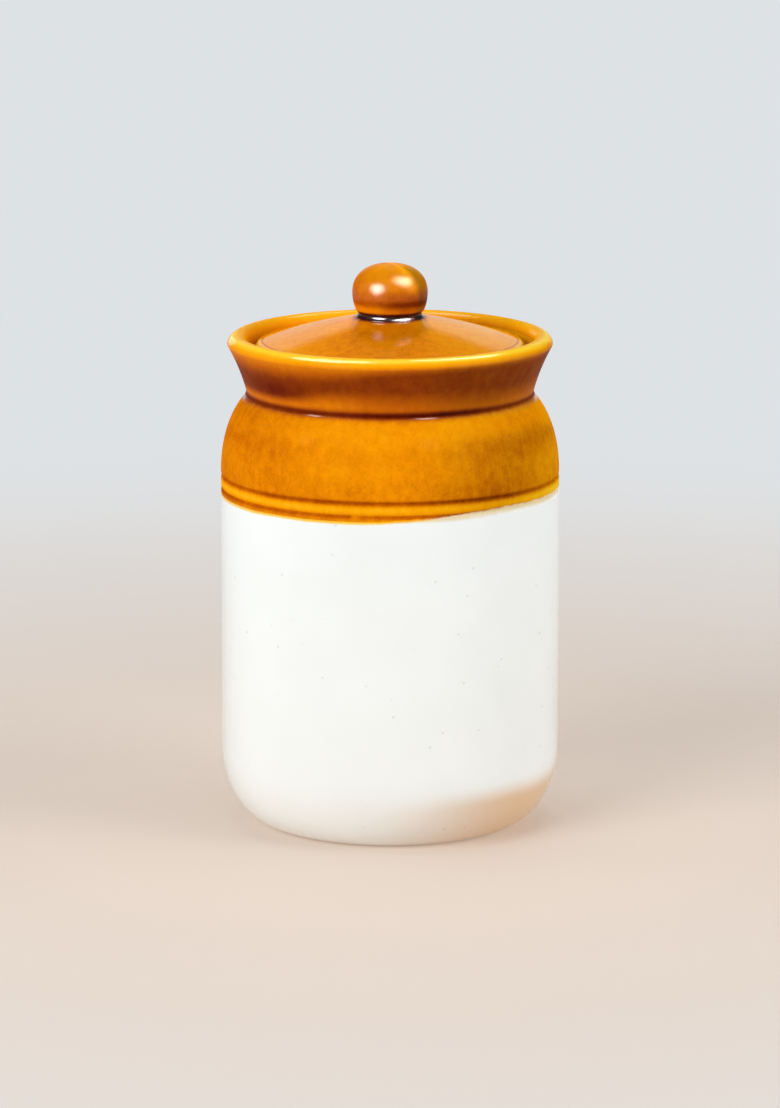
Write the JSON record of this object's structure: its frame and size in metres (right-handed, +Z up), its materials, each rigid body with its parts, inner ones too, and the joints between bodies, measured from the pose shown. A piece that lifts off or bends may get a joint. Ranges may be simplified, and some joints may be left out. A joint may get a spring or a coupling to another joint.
{
  "type": "pickle jar",
  "caption": "Straight-sided stoneware pickle jar with a wide rounded heel, a grooved amber shoulder, a flared collar and a recessed domed lid with a ball knob that lifts off.",
  "frame": {"origin": "centre of the foot, on the surface that the jar stands on", "axes": "+Z up along the axis that every piece is turned about; -Y is the side that the picture shows"},
  "size_m": [0.14, 0.14, 0.2332],
  "materials": {
    "white_glaze": "glossy",
    "amber_glaze": "glossy"
  },
  "bodies": {
    "jar": {"lower_body": "white_glaze", "shoulder": "amber_glaze", "collar": "amber_glaze"},
    "lid": {"lid": "amber_glaze", "lid_knob": "amber_glaze"}
  },
  "joints": [
    {"name": "lid_lift", "type": "slide", "parent": "jar", "child": "lid", "axis": [0, 0, 1], "range_m": [0, 0.12]}
  ]
}
